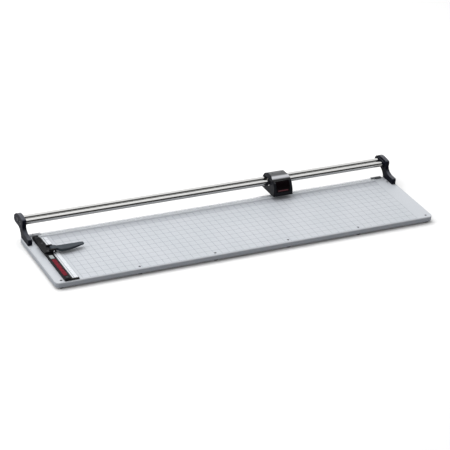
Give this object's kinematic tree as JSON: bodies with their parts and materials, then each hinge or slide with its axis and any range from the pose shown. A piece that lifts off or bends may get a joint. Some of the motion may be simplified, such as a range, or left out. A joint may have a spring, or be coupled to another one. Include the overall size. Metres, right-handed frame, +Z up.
{
  "type": "rotary paper trimmer",
  "caption": "Long rotary paper trimmer: gridded board, twin steel rails behind it, sliding head with a cutting wheel and press roller, side guide with a lever clamp.",
  "frame": {"origin": "on the supporting surface, below the centre of the whole trimmer's box", "axes": "+X along the rails and the cut, +Y from the front edge towards the rails, +Z up"},
  "size_m": [1.372, 0.374, 0.097],
  "materials": {
    "board_edge": "dark grey vinyl edge band, satin",
    "mdf": "raw fibreboard",
    "grid_sheet": "light grey melamine with a printed grid, satin",
    "backing_sheet": "plain grey backing sheet",
    "beam_steel": "grey painted steel bar",
    "blade_steel": "ground hardened steel",
    "screw_steel": "blackened steel",
    "zinc_steel": "zinc plated steel",
    "foot_rubber": "black rubber",
    "clear_strip": "clear polycarbonate",
    "grey_plastic": "light grey moulded plastic",
    "black_plastic": "black moulded plastic, satin",
    "bracket_paint": "black powder coat on a die casting",
    "rail_chrome": "ground and polished steel bar",
    "guide_black": "black anodised aluminium",
    "guide_red": "deep red plain label",
    "guide_tab": "pale grey plain label",
    "white_plastic": "white moulded plastic with a printed scale",
    "lever_plastic": "dark blue-grey moulded plastic",
    "cast_body": "black die-cast carriage",
    "badge": "plain dark label with one dull red bar",
    "bushing_plastic": "natural acetal",
    "bearing_brass": "turned brass",
    "hub_metal": "turned aluminium",
    "grid_ink": "grey printed lines and numbers",
    "red_ink": "dull red print",
    "roller_rubber": "dark rubber"
  },
  "bodies": {
    "base": {"edge_trim": "board_edge", "baseboard_core": "mdf", "top_laminate": "grid_sheet", "bottom_laminate": "backing_sheet", "blade_bar": "beam_steel", "stiffener_strap": "beam_steel", "fixed_blade": "blade_steel", "blade_screws": "screw_steel", "board_screws_front": "screw_steel", "anchor_screws": "screw_steel", "guide_screws": "screw_steel", "lever_bracket_screws": "screw_steel", "rail_end_screws": "screw_steel", "board_screws_rear": "zinc_steel", "board_nuts": "zinc_steel", "bracket_bolts": "zinc_steel", "side_clamp_springs": "zinc_steel", "lever_pin": "zinc_steel", "feet_front": "foot_rubber", "feet_rear": "foot_rubber", "strip_anchor_left": "grey_plastic", "strip_anchor_right": "black_plastic", "lever_bracket": "black_plastic", "bracket_left": "bracket_paint", "bracket_right": "bracket_paint", "rail_front": "rail_chrome", "rail_rear": "rail_chrome", "guide_bar": "guide_black", "guide_panel": "guide_red", "guide_index_tab": "guide_tab"},
    "carriage": {"head_body": "cast_body", "head_cover": "black_plastic", "head_badge": "badge", "cover_screws": "screw_steel", "rail_bushings": "bushing_plastic", "wheel_axle": "zinc_steel", "axle_nut": "zinc_steel", "thrust_washer": "bearing_brass", "wheel_spring": "zinc_steel", "roller_pin": "zinc_steel"},
    "wheel_sleeve": {"axle_sleeve": "bearing_brass"},
    "wheel": {"wheel_hub": "hub_metal", "cutting_wheel": "blade_steel", "hub_ring": "hub_metal", "hub_screws": "screw_steel"},
    "roller": {"press_roller": "roller_rubber"},
    "paper_strip": {"paper_strip": "clear_strip"},
    "side_clamp": {"side_clamp": "white_plastic", "side_clamp_posts": "zinc_steel"},
    "lever": {"clamp_lever": "lever_plastic"}
  },
  "joints": [
    {"name": "head_slide", "type": "slide", "parent": "base", "child": "carriage", "axis": [1, 0, 0], "range_m": [-0.879, 0.377]},
    {"name": "wheel_float", "type": "slide", "parent": "carriage", "child": "wheel_sleeve", "axis": [0, 1, 0], "range_m": [0, 0.0008], "stiffness_N_per_m": 1500, "springref_m": -0.004, "deforming": ["wheel_spring"]},
    {"name": "wheel_spin", "type": "hinge", "parent": "wheel_sleeve", "child": "wheel", "pos_m": [0.251, 0.1253, 0.0375], "axis": [0, 1, 0], "continuous": true},
    {"name": "roller_spin", "type": "hinge", "parent": "carriage", "child": "roller", "pos_m": [0.251, 0.1066, 0.033], "axis": [0, 1, 0], "continuous": true},
    {"name": "paper_strip_press", "type": "slide", "parent": "base", "child": "paper_strip", "axis": [0, 0, -1], "range_m": [0, 0.0009], "stiffness_N_per_m": 1500, "springref_m": -0.0006},
    {"name": "clamp_lever_turn", "type": "hinge", "parent": "base", "child": "lever", "pos_m": [-0.625, 0.0005, 0.0349], "axis": [0, -1, 0], "range_deg": [0, 80]},
    {"name": "side_clamp_lift", "type": "slide", "parent": "base", "child": "side_clamp", "axis": [0, 0, 1], "range_m": [0, 0.00252], "deforming": ["side_clamp_springs"]}
  ],
  "couplings": [
    {"joint": "wheel_spin", "follows": "head_slide", "rad_per_m": 55.556},
    {"joint": "roller_spin", "follows": "head_slide", "rad_per_m": 142.86},
    {"joint": "side_clamp_lift", "follows": "clamp_lever_turn", "m_per_rad": 0.0017905}
  ]
}
